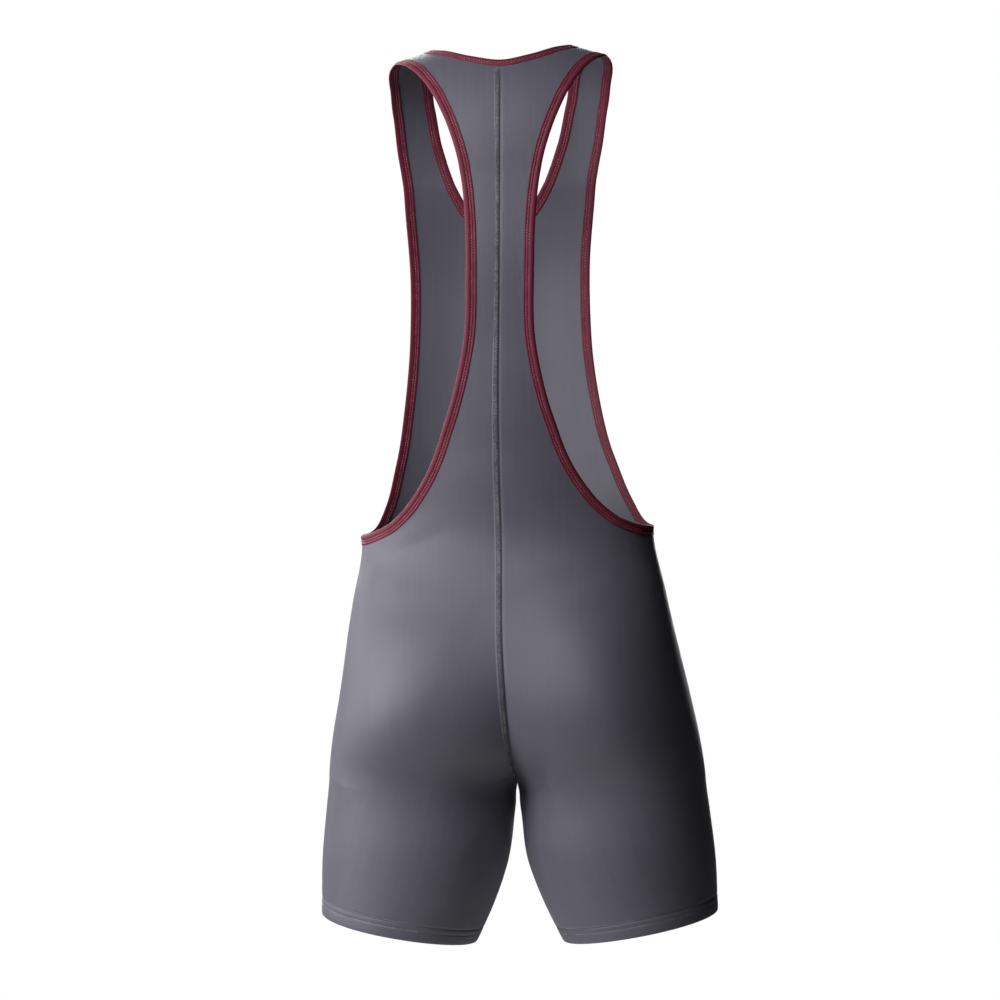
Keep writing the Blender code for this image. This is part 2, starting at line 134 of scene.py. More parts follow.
# ---- how finely each part is made
LINE_STEPS = 1200  # steps along a panel's edge before it is divided into rows
STRETCH_ROWS = {BACK: (30, 84, 66, 34), FRONT: (52, 64, 66, 34)}  # neck, bib, seat and leg
MIDDLE_COLUMNS = 46  # across a panel, between the close columns at its two edges
ROW_SAMPLES = 161
INNER_OFFSETS = (
    0, 0.0003, 0.0006, 0.0010, 0.0016, 0.0025, 0.0034, 0.0046, 0.0057, 0.0062, 0.0067, 0.0078, 0.0092,
)
OUTER_OFFSETS = (0, 0.0003, 0.0007, 0.0013, 0.0026, 0.0038, 0.0048, 0.0056, 0.0068)
HEM_OFFSETS = (0, 0.0004, 0.0009, 0.0013, 0.0018, 0.0025, 0.0035)
GRAIN_SAMPLES = 25  # on each line round the body along which the grain is measured
GRAIN_STRAIGHT_FROM = -0.20  # over this height the grain turns to run straight over the shoulder
GRAIN_BLEND = 0.10
HEM_ROWS_CLEAR = 0.012  # share of the leg left free over the close rows at the hem
SHORT_OF_INSEAM = 1e-4  # a leg panel's bearings stop this short of the inseam
SHARP_DEGREES = 50  # edges that fold more than this aren't shaded smooth

# ---- relief of the sewing
SEAM_SINK = 0.00042  # how far the knit is drawn in at a plain seam
SEAM_SINK_WIDTH = 0.0014
ALLOWANCE_WIDTH = 0.0067  # seam allowance under the covering stitches, on the left of the centre seam
ALLOWANCE_EDGE = 0.0006
ALLOWANCE_LIFT = 0.00045
HEM_COVER = 0.0034  # the hem's turned layer reaches this far over the panel inside
HEM_SINK = 0.0006
HEM_NEEDLE_ROW = 0.0013  # over the join of panel and hem
PUCKER_LIFT = 0.00018  # small waves beside a stretched seam
PUCKER_REACH = 0.009
PUCKER_START = 0.002
SEAM_FADE_IN = 3  # rows over which a seam's relief starts
SEAM_FADE_OUT = 6  # rows over which it ends towards the crotch
ALLOWANCE_ROWS = 4  # rows left free, and then faded in, at the top of a side seam's allowance
LOOPER_FROM = 8  # rows from the top of a side seam or an inseam to its looper stitches

# Soft creases: the face, the middle (x, z) with x towards the wearer's left, half-lengths along and
# across the crease, its slant from level, and its depth (below zero for a ridge). The first seven
# are large and shallow, and alike on both sides.
Crease = namedtuple("Crease", "face x z half_length half_width slant_degrees depth")
CREASES = (
    (BACK, 0.000, -0.385, 0.085, 0.0750, 90, -0.0090),
    (BACK, 0.095, -0.590, 0.060, 0.0480, 90, -0.0040),
    (BACK, -0.095, -0.590, 0.060, 0.0480, 90, -0.0040),
    (BACK, 0.064, -0.712, 0.084, 0.0300, 4, 0.0050),
    (BACK, -0.064, -0.712, 0.084, 0.0300, -4, 0.0050),
    (BACK, 0.078, -0.805, 0.060, 0.0380, 0, -0.0030),
    (BACK, -0.078, -0.805, 0.060, 0.0380, 0, -0.0030),
    (BACK, -0.0265, -0.722, 0.036, 0.0080, 97, 0.0030),
    (BACK, 0.030, -0.768, 0.026, 0.0070, -58, 0.0012),
    (BACK, 0.096, -0.484, 0.046, 0.0080, -24, 0.0007),
    (BACK, -0.100, -0.486, 0.050, 0.0085, 22, 0.0008),
    (BACK, 0.060, -0.510, 0.050, 0.0110, 8, 0.0006),
    (BACK, -0.048, -0.522, 0.044, 0.0100, -10, 0.0007),
    (FRONT, 0.062, -0.706, 0.060, 0.0090, 34, 0.0016),
    (FRONT, -0.060, -0.702, 0.052, 0.0085, -36, 0.0014),
    (FRONT, 0.050, -0.728, 0.038, 0.0070, 22, 0.0010),
    (FRONT, -0.056, -0.732, 0.044, 0.0075, -26, 0.0011),
    (FRONT, 0.060, -0.470, 0.070, 0.0100, -6, 0.0008),
    (FRONT, -0.052, -0.486, 0.060, 0.0095, 8, 0.0007),
    (FRONT, 0.000, -0.235, 0.085, 0.0200, 90, 0.0016),
)
CREASE_EDGE = 0.030  # creases die away this near the side seam, the inseam and the shoulder
CREASE_END = 2.5  # how squarely a crease ends along its length
LIP_HEIGHT = 0.35  # of the low lip on each side of a crease, as a share of its depth
LIP_PLACE = 1.9  # half-widths from the crease's middle to its lip

# Binding: a strip folded round the knit's edge, as (distance off the edge line, height over the
# figure) in millimetres: the outer layer out to the fold, the inner layer back, then the hollow.
BINDING_PROFILE = (
    (-0.50, 1.32), (-0.70, 1.55), (-0.45, 1.92), (0.20, 2.06), (0.95, 1.96), (1.30, 1.64),
    (1.60, 1.48), (1.90, 1.64), (2.25, 1.98), (2.90, 2.08), (3.40, 1.96), (3.70, 1.68),
    (3.95, 1.54), (4.20, 1.68), (4.60, 2.02), (5.40, 2.30), (6.50, 2.42), (7.60, 2.30),
    (8.60, 1.92), (9.20, 1.42), (9.50, 0.85), (9.35, 0.36), (8.80, 0.02), (7.60, -0.14),
    (6.00, -0.18), (4.30, -0.14), (3.95, 0.08), (3.60, -0.14), (2.00, -0.14), (1.60, 0.08),
    (1.20, -0.14), (-0.45, -0.12), (-0.70, 0.15), (-0.50, 0.38),
    (0.20, 0.42), (4.00, 0.46), (8.20, 0.62), (8.60, 0.86), (8.20, 1.12), (4.00, 1.26), (0.20, 1.28),
)
BINDING_STEP = 0.0022  # along the strip

# Leg hem: the knit turned up inside, in the same two measures.
HEM_PROFILE = (
    (0.00, 0.66), (0.35, 0.94), (0.80, 1.20), (1.60, 1.32), (3.00, 1.38), (4.30, 1.34), (4.80, 1.12),
    (5.20, 0.94), (5.60, 1.12), (6.10, 1.38), (7.40, 1.46), (10.0, 1.46), (12.6, 1.42), (14.6, 1.28),
    (15.6, 0.98), (16.0, 0.55), (15.7, 0.10),
    (14.8, -0.18), (12.0, -0.26), (6.00, -0.24), (0.00, -0.20), (-2.60, -0.16), (-2.90, 0.05),
    (-2.60, 0.26), (0.00, 0.30), (8.00, 0.34), (14.4, 0.44), (14.8, 0.58), (14.4, 0.74),
    (8.00, 0.70), (0.60, 0.60), (0.20, 0.64),
)
HEM_STEP = 0.0025

MILLIMETRE = 0.001
ON_EDGE_LINE = 0.00025  # a profile's points this near the edge line stay over it
HOLE_OUTSIDE = 0.12  # how far outside the armhole's middle its binding points
NECK_ABOVE = 0.05  # how far over the shoulders the neck's binding points

# ---- stitches, finishes and studio
STITCH_SIZES = ("Spacing", "Stitch length", "Thread width", "Thread height", "Slant", "Stray")


def stitch(*sizes):
    return dict(zip(STITCH_SIZES, sizes))


BINDING_STITCH = stitch(0.0027, 0.0021, 0.00055, 0.00040, 0.0, 0.06)
HEM_STITCH = stitch(0.0028, 0.0023, 0.00072, 0.00046, 0.12, 0.12)
SEAM_STITCH = stitch(0.0024, 0.0018, 0.00065, 0.00050, 0.25, 0.25)
ZIGZAG_STITCH = stitch(0.0013, 0.0052, 0.00058, 0.00042, 1.00, 0.30)
LOOPER_STITCH = stitch(0.0017, 0.0047, 0.00052, 0.00040, 0.95, 0.15)

# Needle rows on the bindings and the hem, as (distance, height) in millimetres.
BINDING_ROWS = ((1.60, 1.64), (3.95, 1.70), (1.60, -0.06), (3.95, -0.06))
HEM_LOWER_ROW = (5.20, 1.10)
HEM_UPPER_ROW = -1 - HEM_OFFSETS.index(HEM_NEEDLE_ROW)
ALLOWANCE_MIDDLE = INNER_OFFSETS.index(0.0034)
ALLOWANCE_OUTSIDE = INNER_OFFSETS.index(0.0057)
SIDE_ALLOWANCE = -1 - OUTER_OFFSETS.index(0.0026)

THREAD_LIFT = 0.00012  # thread lies this high on the cloth
THREAD_SEGMENTS = 6
THREAD_RINGS = 5
SHORTEST_STITCH = 0.85  # as a share of the longest
TURN_SEED = 11
LENGTH_SEED = 5

WALE = 0.62  # millimetres from one rib of the knit to the next
COURSE = 0.50
BINDING_RIB = 0.80
KNIT_TONES = ((0.117, 0.112, 0.143), (0.174, 0.168, 0.208))  # dark, light
BINDING_TONES = ((0.122, 0.006, 0.022), (0.256, 0.020, 0.056))
PINK_TONES = ((0.32, 0.08, 0.13), (0.80, 0.48, 0.54))
SILVER_TONES = ((0.060, 0.065, 0.066), (0.42, 0.45, 0.43))
PALE_TONES = ((0.20, 0.21, 0.22), (0.62, 0.64, 0.64))

# What each piece was cut to: width, length and area, flat and unstretched.
CUTS = {
    "back": (0.28, 0.88, 0.103),
    "front": (0.26, 0.86, 0.111),
    "leg_hem": (0.45, 0.035, None),
    "armhole_binding": (0.022, 0.95, None),
    "neck_binding": (0.022, 0.60, None),
}

SENSOR = 36.0
CAMERA_DISTANCE = 3.8
FRAME_WIDTH = 0.98  # at the body's middle
FRAME_CENTRE_X = 0.002
FRAME_CENTRE_Z = -0.436

FLOOR_HEIGHT = -1.55  # under a standing wearer's feet
FLOOR_SIZE = 3.2
FLOOR_SOLID = 0.2  # beyond this reach the floor fades into the white round it
FLOOR_TONE = (0.76, 0.76, 0.76, 1.0)
WORLD_GLOW = 0.006
WORLD_SEEN = 1.0
COOL, WHITE = (0.97, 0.975, 1.0), (1.0, 1.0, 1.0)
HIPS, WAIST = (0.0, 0.0, -0.5), (0.0, 0.0, -0.4)
SOFTBOXES = (
    # name, place, aim, size, power, colour
    ("key_softbox", (1.29, 1.84, 0.80), HIPS, (1.0, 1.0), 30.0, COOL),
    ("side_softbox", (2.52, -0.44, -0.05), HIPS, (1.0, 1.0), 31.0, COOL),
    ("low_softbox", (2.22, 1.28, -0.20), HIPS, (1.0, 1.0), 23.0, WHITE),
    ("top_softbox", (0.96, 1.37, 1.49), HIPS, (1.0, 1.0), 10.0, COOL),
    ("front_softbox", (0.9, -2.4, 0.6), WAIST, (1.6, 1.6), 55.0, WHITE),
    ("fill_softbox", (-0.35, -2.7, 0.0), WAIST, (1.0, 1.6), 40.0, WHITE),
)


# ---- curves
def smooth_read(keys, values, at):
    """A smooth curve through the table's rows, read at any number of keys."""
    keys = np.asarray(keys, float)
    values = np.asarray(values, float)
    if keys[0] > keys[-1]:
        keys, values = keys[::-1], values[::-1]
    slope = np.gradient(values, keys, axis=0)
    at = np.clip(np.asarray(at, float), keys[0], keys[-1])
    i = np.clip(np.searchsorted(keys, at) - 1, 0, len(keys) - 2)
    step = (keys[i + 1] - keys[i])[..., None]
    t = (at - keys[i])[..., None] / step
    return (
        (2 * t**3 - 3 * t**2 + 1) * values[i]
        + (t**3 - 2 * t**2 + t) * step * slope[i]
        + (3 * t**2 - 2 * t**3) * values[i + 1]
        + (t**3 - t**2) * step * slope[i + 1]
    )


def table_reader(name, columns, table):
    """Reads a table at any heights, the first column, as a row with the other columns' names."""
    row = namedtuple(name, columns[1:])
    heights = [line[0] for line in table]
    values = [line[1:] for line in table]
    return lambda at: row(*np.moveaxis(smooth_read(heights, values, at), -1, 0))


figure_at = table_reader("Section", FIGURE_COLUMNS, FIGURE)
pose_at = table_reader("Stance", POSE_COLUMNS, POSE)


def blend(a, b, share):
    return a + (b - a) * share


def ease(share):
    share = np.clip(share, 0, 1)
    return share * share * (3 - 2 * share)


def run_along(points):
    """Distances of the points of a line from its first one."""
    steps = np.linalg.norm(np.diff(points, axis=0), axis=1)
    return np.concatenate([[0], np.cumsum(steps)])


def hump(distance, width):
    return np.exp(-((distance / width) ** 2))


def uneven(run, seed):
    """Waves of unequal length along a seam, between about -1 and 1. One wave is near 7 mm."""
    return 0.5 * np.sin(run * 840 + seed) + 0.3 * np.sin(run * 1270 + 2 * seed) + 0.2 * np.sin(run * 450)


# ---- points on the figure
# A point is given by its station (its height, carried on over the shoulder cap as an arc)
# and its bearing round the section: 0 at the side, +90 degrees at the back, -90 at the front.
def section_gauge(x, y, section):
    dx = x - section.centre_x
    inner = np.where(y >= 0, section.inner_back, section.inner_front)
    across = np.abs(dx) / np.where(dx >= 0, section.side, inner)
    along = np.abs(y) / np.where(y >= 0, section.back, section.front)
    return (across**section.roundness + along**section.roundness) ** (1 / section.roundness)


def on_figure(station, bearing):
    station, bearing = np.broadcast_arrays(np.asarray(station, float), np.asarray(bearing, float))
    section = figure_at(np.minimum(station, CAP_BASE))
    c, s = np.cos(bearing), np.sin(bearing)
    reach = 1 / section_gauge(section.centre_x + c, s, section)
    climb = np.maximum(station - CAP_BASE, 0) / CAP_HEIGHT
    narrow = np.cos(climb) ** (2 / CAP_ROUND)
    height = np.minimum(station, CAP_BASE) + CAP_HEIGHT * np.sin(climb) ** (2 / CAP_ROUND)
    return np.stack([section.centre_x + narrow * reach * c, narrow * reach * s, height], axis=-1)


def address_of(points):
    """Station and bearing of the figure's points under or over the given ones."""
    x, y, z = np.moveaxis(points, -1, 0)
    section = figure_at(np.minimum(z, CAP_BASE))
    bearing = np.arctan2(y, x - section.centre_x)
    # the inseam's own line counts as the back's
    bearing = np.where(bearing < -math.pi * 0.999, bearing + 2 * math.pi, bearing)
    half = CAP_ROUND / 2
    flat = section_gauge(x, y, section) ** half
    up = (np.maximum(z - CAP_BASE, 0) / CAP_HEIGHT) ** half
    return np.where(z <= CAP_BASE, z, CAP_BASE + CAP_HEIGHT * np.arctan2(up, flat)), bearing


def onto_figure(points):
    """The figure's points under the given ones, on either half of the body."""
    side = np.where((points[..., 0] < 0) & (points[..., 2] > CROTCH), -1.0, 1.0)
    mirror = np.stack([side, np.ones_like(side), np.ones_like(side)], axis=-1)
    return on_figure(*address_of(points * mirror)) * mirror


def address_from_view(x, z, face):
    """Station and bearing of the points seen at x, z on the back or the front."""
    x, z = np.broadcast_arrays(np.asarray(x, float), np.asarray(z, float))
    section = figure_at(np.minimum(z, CAP_BASE))
    share = np.clip((z - CAP_BASE) / CAP_HEIGHT, 0.0, 1.0)
    narrow = (1 - share**CAP_ROUND) ** (1 / CAP_ROUND)
    station = np.where(z > CAP_BASE, CAP_BASE + CAP_HEIGHT * np.arcsin(share ** (CAP_ROUND / 2)), z)
    inner = section.inner_back if face > 0 else section.inner_front
    dx = x - section.centre_x
    across = np.abs(dx) / (np.where(dx >= 0, section.side, inner) * narrow)
    depth = (section.back if face > 0 else section.front) * narrow
    dy = depth * np.maximum(1 - across**section.roundness, 0.0) ** (1 / section.roundness)
    return station, np.arctan2(face * dy, dx)


def on_shoulder(x):
    """Station on the shoulder seam at a distance x from the middle."""
    narrow = x / figure_at(CAP_BASE).side
    return CAP_BASE + CAP_HEIGHT * np.arccos(narrow ** (CAP_ROUND / 2))


def from_middle(station, bearing, face):
    """Distance round the body from its middle plane, or round a leg from the inseam."""
    start = address_from_view(0.0, np.minimum(station, CAP_BASE), face)[1][..., None]
    path = on_figure(station[..., None], blend(start, bearing[..., None], np.linspace(0, 1, GRAIN_SAMPLES)))
    return np.linalg.norm(np.diff(path, axis=-2), axis=-1).sum(axis=-1)


def surface_normal(station, bearing):
    step = 0.0006
    turn = math.radians(0.4)
    up = on_figure(station + step, bearing) - on_figure(station - step, bearing)
    round_body = on_figure(station, bearing + turn) - on_figure(station, bearing - turn)
    normal = np.cross(round_body, up)
    return normal / np.linalg.norm(normal, axis=-1, keepdims=True)


def posed(points):
    x, y, z = np.moveaxis(points, -1, 0)
    stance = pose_at(z)
    turn = np.radians(stance.turn_degrees)
    return np.stack([
        stance.shift_x + x * np.cos(turn) + y * np.sin(turn),
        y * np.cos(turn) - x * np.sin(turn),
        z - stance.lean * x,
    ], axis=-1)


def form_relief(points):
    """Height of the soft creases at points of the figure, given with their true side."""
    x, y, z = np.moveaxis(points, -1, 0)
    height = np.zeros_like(x)
    for crease in map(Crease._make, CREASES):
        slant = math.radians(crease.slant_degrees)
        dx, dz = x - crease.x, z - crease.z
        along = (dx * math.cos(slant) + dz * math.sin(slant)) / crease.half_length
        across = (dz * math.cos(slant) - dx * math.sin(slant)) / crease.half_width
        faces = ease(crease.face * y / CREASE_EDGE)
        profile = np.exp(-(across**2)) - LIP_HEIGHT * np.exp(-((np.abs(across) - LIP_PLACE) ** 2))
        height -= crease.depth * np.exp(-(np.abs(along) ** CREASE_END)) * profile * faces
    return height


# ---- edges of the panels
def along_line(line, shares):
    """Addresses at shares of the distance along a line of closely set ones."""
    run = run_along(on_figure(line[:, 0], line[:, 1]))
    wanted = np.asarray(shares) * run[-1]
    return np.stack([np.interp(wanted, run, line[:, k]) for k in (0, 1)], axis=-1)


def smooth_line(before, knots, after):
    """Closely set addresses on a smooth line through some knots, leading on from the neighbouring ones."""
    knots = np.array([before, *knots, after])
    run = run_along(on_figure(knots[:, 0], knots[:, 1]))
    return smooth_read(run, knots, np.linspace(run[1], run[-2], LINE_STEPS))


def seen_knots(table, face):
    return [address_from_view(x, z, face) for x, z in table]


def neckline(face):
    """From the shoulder seam to the centre seam."""
    knots = [(on_shoulder(NECK_AT_SHOULDER), 0.0)]
    knots += seen_knots(NECKLINE[face], face)
    knots += [address_from_view(0.0, NECK_DEPTH[face], face)]
    past_centre = (knots[-2][0], face * math.pi - knots[-2][1])
    return smooth_line(seen_knots(NECKLINE[-face], -face)[0], knots, past_centre)


def centre_seam(face, top, foot):
    """From one height to another on the body's middle plane."""
    share = np.linspace(0, 1, LINE_STEPS)
    # closer together towards the foot, where the seam turns under
    heights = top + (foot - top) * np.sin(share * math.pi / 2)
    line = np.stack(address_from_view(SEAM_GAP / 2, heights, face), axis=-1)
    if foot <= CROTCH:
        line[-1, 1] = face * math.pi
    return line


def armhole(face):
    """From the shoulder seam to the side seam."""
    knots = [(on_shoulder(STRAP_AT_SHOULDER), 0.0)]
    knots += seen_knots(ARMHOLE[face], face)
    knots += [(SIDE_WAIST, 0.0)]
    other = seen_knots(ARMHOLE[-face], -face)
    return smooth_line(other[0], knots, other[-1])


def straight_down(bearing, top, foot, shares):
    shares = np.asarray(shares)
    return np.stack([blend(top, foot, shares), np.full(shares.shape, bearing)], axis=-1)


def row_shares(face):
    """Shares down each stretch of a panel, closer together just over the hem."""
    neck, bib, seat, leg = (np.linspace(0, 1, count + 1) for count in STRETCH_ROWS[face])
    close = 1 - np.array(HEM_OFFSETS[::-1]) / (SEAT_FOOT - HEM_OUTER - HEM_DEPTH)
    leg = np.concatenate([leg[leg < close[0] - HEM_ROWS_CLEAR], close])
    return neck, bib, seat, leg


def panel_edges(face):
    """Row ends of one panel: the inner line (neck, centre seam, inseam) and the outer one."""
    neck, bib, seat, leg = row_shares(face)
    inner = np.concatenate([
        along_line(neckline(face), neck)[:-1],
        along_line(centre_seam(face, NECK_DEPTH[face], BIB_FOOT), bib),
        along_line(centre_seam(face, BIB_FOOT, CROTCH), seat)[1:],
        straight_down(face * math.pi, CROTCH, HEM_INNER + HEM_DEPTH, leg)[1:],
    ])
    hole = armhole(face)
    split = int(STRAP_SHARE[face] * len(hole))
    outer = np.concatenate([
        along_line(hole[: split + 1], neck),
        along_line(hole[split:], bib)[1:],
        straight_down(0.0, SIDE_WAIST, SEAT_FOOT, seat)[1:],
        straight_down(0.0, SEAT_FOOT, HEM_OUTER + HEM_DEPTH, leg)[1:],
    ])
    return inner, outer


def row_address(start, end, share, down_leg):
    """Points along a panel's row. down_leg is 0 at the crotch and above it, and 1 at the hem."""
    eased = (1 - np.cos(math.pi * share)) / 2
    bearing = blend(start[1], end[1], share)
    station = blend(start[0], end[0], eased) - HEM_BACK_DROP * down_leg * np.sin(bearing)
    return station, bearing


def row_columns(length):
    """Distances of a row's points from its inner end: close at both edges, even between."""
    inner = np.array(INNER_OFFSETS)
    outer = length - np.array(OUTER_OFFSETS[::-1])
    middle = np.linspace(inner[-1], outer[0], MIDDLE_COLUMNS + 2)[1:-1]
    return np.concatenate([inner, middle, outer])


Panel = namedtuple(
    "Panel", "station bearing from_inner from_outer down neck_rows side_row crotch_row over_hem"
)


def panel_layout(face):
    """Addresses of a left panel's points, with their distances from its edges and down it."""
    inner, outer = panel_edges(face)
    neck, bib, seat, leg = row_shares(face)
    neck_rows = len(neck) - 1
    side_row = neck_rows + len(bib) - 1
    crotch_row = side_row + len(seat) - 1
    stations, bearings, from_inner, from_outer = [], [], [], []
    for i, (start, end) in enumerate(zip(inner, outer)):
        down_leg = leg[i - crotch_row] if i > crotch_row else 0.0
        share = np.linspace(0, 1, ROW_SAMPLES)
        station, bearing = row_address(start, end, share, down_leg)
        if i == 0:
            across = blend(NECK_AT_SHOULDER, STRAP_AT_SHOULDER, share)
            station, bearing = on_shoulder(across), face * SEAM_GAP / 2 / across
        if i >= crotch_row:
            bearing = np.clip(bearing, SHORT_OF_INSEAM - math.pi, math.pi - SHORT_OF_INSEAM)
        run = run_along(on_figure(station, bearing))
        columns = row_columns(run[-1])
        stations.append(np.interp(columns, run, station))
        bearings.append(np.interp(columns, run, bearing))
        from_inner.append(columns)
        from_outer.append(run[-1] - columns)
    station, bearing = np.array(stations), np.array(bearings)
    points = on_figure(station, bearing)
    steps = np.linalg.norm(np.diff(points, axis=0), axis=2)
    down = np.concatenate([np.zeros((1, steps.shape[1])), np.cumsum(steps, axis=0)])
    over_hem = len(station) - len(HEM_OFFSETS)
    return Panel(
        station, bearing, np.array(from_inner), np.array(from_outer), down,
        neck_rows, side_row, crotch_row, over_hem,
    )


def seam_normals(line, face):
    """Directions out of the cloth at the centre seam, within the middle plane."""
    along = np.gradient(line, axis=0)
    along[-1] = (0.0, -float(face), 0.0)
    normal = np.stack([np.zeros(len(line)), -along[:, 2] * face, along[:, 1] * face], axis=-1)
    return normal / np.linalg.norm(normal, axis=1, keepdims=True)


def down_centre_seam(panel, rows):
    """1 on the rows beside the centre seam, fading out at its two ends."""
    starts = ease((rows - panel.neck_rows) / SEAM_FADE_IN)
    return starts * ease((panel.crotch_row - rows) / SEAM_FADE_OUT)


def puckers(distance, run, seed):
    """Small waves beside a stretched seam."""
    beside = np.exp(-distance / PUCKER_REACH) * ease(distance / PUCKER_START)
    return PUCKER_LIFT * uneven(run, seed) * beside


def sewing_relief(panel, face, side):
    """Height that seams, the covered allowance, the hem's needle row and puckers add to a panel."""
    rows = np.arange(len(panel.station))[:, None]
    on_inner_seam = ease((rows - panel.neck_rows) / SEAM_FADE_IN)
    on_side_seam = ease((rows - panel.side_row) / SEAM_FADE_IN)
    to_hem = panel.down[-1] - panel.down
    height = -SEAM_SINK * hump(panel.from_inner, SEAM_SINK_WIDTH) * on_inner_seam
    height -= SEAM_SINK * hump(panel.from_outer, SEAM_SINK_WIDTH) * on_side_seam
    height -= SEAM_SINK * hump(panel.down, SEAM_SINK_WIDTH)
    height -= HEM_SINK * hump(to_hem, SEAM_SINK_WIDTH / 2)
    height -= HEM_SINK * hump(to_hem - HEM_NEEDLE_ROW, SEAM_SINK_WIDTH / 3)
    if side == LEFT:
        height += ALLOWANCE_LIFT * allowance(panel.from_inner) * down_centre_seam(panel, rows)
    height += puckers(panel.from_inner, panel.down, 1.7 * face + side)
    height += puckers(panel.from_outer, panel.down, 2.9 * face - side)
    return height


def allowance(distance):
    """1 over the strip of cloth that is folded flat beside a seam, 0 beyond it."""
    rise = ease((distance - ALLOWANCE_EDGE) / ALLOWANCE_EDGE)
    return rise * ease((ALLOWANCE_WIDTH - distance) / ALLOWANCE_EDGE)


def inside_relief(panel, face, side):
    """How far the seams' folded allowances stand off the inner face."""
    rows = np.arange(len(panel.station))[:, None]
    height = np.zeros_like(panel.station)
    if side == LEFT:
        height += allowance(panel.from_inner) * down_centre_seam(panel, rows)
    if face == BACK:
        below_hole = ease((rows - panel.side_row) / ALLOWANCE_ROWS - 1)
        below_crotch = ease((rows - panel.crotch_row) / ALLOWANCE_ROWS - 1)
        over_hem = ease((panel.down[-1] - panel.down - HEM_COVER) / ALLOWANCE_EDGE)
        height += allowance(panel.from_outer) * below_hole * over_hem
        height += allowance(panel.from_inner) * below_crotch * over_hem
    return ALLOWANCE_LIFT * height


Surface = namedtuple("Surface", "outer inner facing panel")


def mirrored(points, side):
    return points * np.array([side, 1.0, 1.0])


def panel_name(face, side):
    return f"{FACE_WORD[face]}_{SIDE_WORD[side]}"


def facing_of(points, normals):
    """Unit directions out of the cloth once it stands in its pose."""
    facing = posed(points + normals * MILLIMETRE) - posed(points)
    return facing / np.linalg.norm(facing, axis=-1, keepdims=True)


def make_panel(face, side, finish):
    name = panel_name(face, side)
    panel = panel_layout(face)
    spots = on_figure(panel.station, panel.bearing)
    normals = surface_normal(panel.station, panel.bearing)
    on_seam = slice(panel.neck_rows, panel.crotch_row + 1)
    weight = ease(spots[on_seam, :, :1] / SEAM_BLEND)
    normals[on_seam] = blend(seam_normals(spots[on_seam, 0], face)[:, None], normals[on_seam], weight)
    normals /= np.linalg.norm(normals, axis=-1, keepdims=True)
    soft = CLOTH + form_relief(mirrored(spots, side))
    outer = spots + normals * (soft + sewing_relief(panel, face, side))[..., None]
    inner = spots + normals * (soft - KNIT_THICK - inside_relief(panel, face, side))[..., None]
    for layer in (outer, inner):
        layer[..., 0] = np.maximum(layer[..., 0], SEAM_GAP / 2)
    outer, inner, normals = (mirrored(layer, side) for layer in (outer, inner, normals))
    round_body = from_middle(panel.station, panel.bearing, face)
    across = blend(round_body, spots[..., 0], ease((spots[..., 2] - GRAIN_STRAIGHT_FROM) / GRAIN_BLEND))
    uv = np.stack([across * side, -panel.down], axis=-1)
    piece = closed_wall(name + "_knit", posed(outer), posed(inner), uv)
    wear(piece, name, finish)
    return piece, Surface(posed(outer), posed(inner), facing_of(outer, normals), panel)


# ---- meshes
def closed_wall(name, outer, inner, uv):
    """A mesh with an outer and an inner face over one grid, joined round its four edges."""
    rows, columns = outer.shape[:2]
    count = rows * columns
    index = np.arange(count).reshape(rows, columns)
    quads = np.stack([index[:-1, :-1], index[1:, :-1], index[1:, 1:], index[:-1, 1:]], axis=-1)
    quads = quads.reshape(-1, 4)
    rim = np.concatenate([index[:-1, 0], index[-1, :-1], index[:0:-1, -1], index[0, :0:-1]])
    after = np.roll(rim, -1)
    walls = np.stack([rim, rim + count, after + count, after], axis=-1)
    faces = np.concatenate([quads, quads[:, ::-1] + count, walls])
    points = np.concatenate([outer.reshape(-1, 3), inner.reshape(-1, 3)])
    grain = np.concatenate([uv.reshape(-1, 2)] * 2)
    return cloth_mesh(name, points, faces, grain[faces])


def closed_ring(name, points):
    """A mesh from a ring of closed profiles: points is (round the ring, round the profile, 3)."""
    count, corners = points.shape[:2]
    index = np.arange(count * corners).reshape(count, corners)
    after = np.roll(index, -1, axis=0)
    faces = np.stack([index, np.roll(index, -1, axis=1), np.roll(after, -1, axis=1), after], axis=-1)
    along = run_along(np.concatenate([points[:, 0], points[:1, 0]]))[:, None]
    around = run_along(np.concatenate([points[0], points[0, :1]]))
    sides = np.stack([around[:-1], around[1:], around[1:], around[:-1]], axis=-1)
    ends = np.stack([along[:-1], along[:-1], along[1:], along[1:]], axis=-1)
    uv = np.stack(np.broadcast_arrays(sides, ends), axis=-1).reshape(-1, 4, 2)
    return cloth_mesh(name, points.reshape(-1, 3), faces.reshape(-1, 4), uv)


def cloth_mesh(name, points, faces, uv):
    """A smooth closed mesh with its faces pointing out. uv has a pair for each face's corner."""
    a, b, c, d = (points[faces[:, k]] for k in range(4))
    volume = np.einsum("ij,ij->i", np.cross(a, b), c).sum() + np.einsum("ij,ij->i", np.cross(a, c), d).sum()
    if volume < 0:
        faces, uv = faces[:, ::-1], uv[:, ::-1]
    mesh = bpy.data.meshes.new(name)
    mesh.from_pydata(points.tolist(), [], faces.tolist())
    mesh.uv_layers.new(name="grain").data.foreach_set("uv", uv.astype(np.float32).ravel())
    mesh.update()
    mesh.shade_smooth()
    mesh.set_sharp_from_angle(angle=math.radians(SHARP_DEGREES))
    return add_object(name, mesh)


def add_object(name, data):
    made = bpy.data.objects.new(name, data)
    bpy.context.scene.collection.objects.link(made)
    return made


def wear(piece, node, finish):
    """Gives a piece its finish and its place: it rides on the garment and stands for a node, if any."""
    piece.data.materials.clear()
    piece.data.materials.append(finish)
    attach(piece, "root")
    if node:
        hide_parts(node)
    return piece


# ---- bands round the edges
Ring = namedtuple("Ring", "line normals outward")


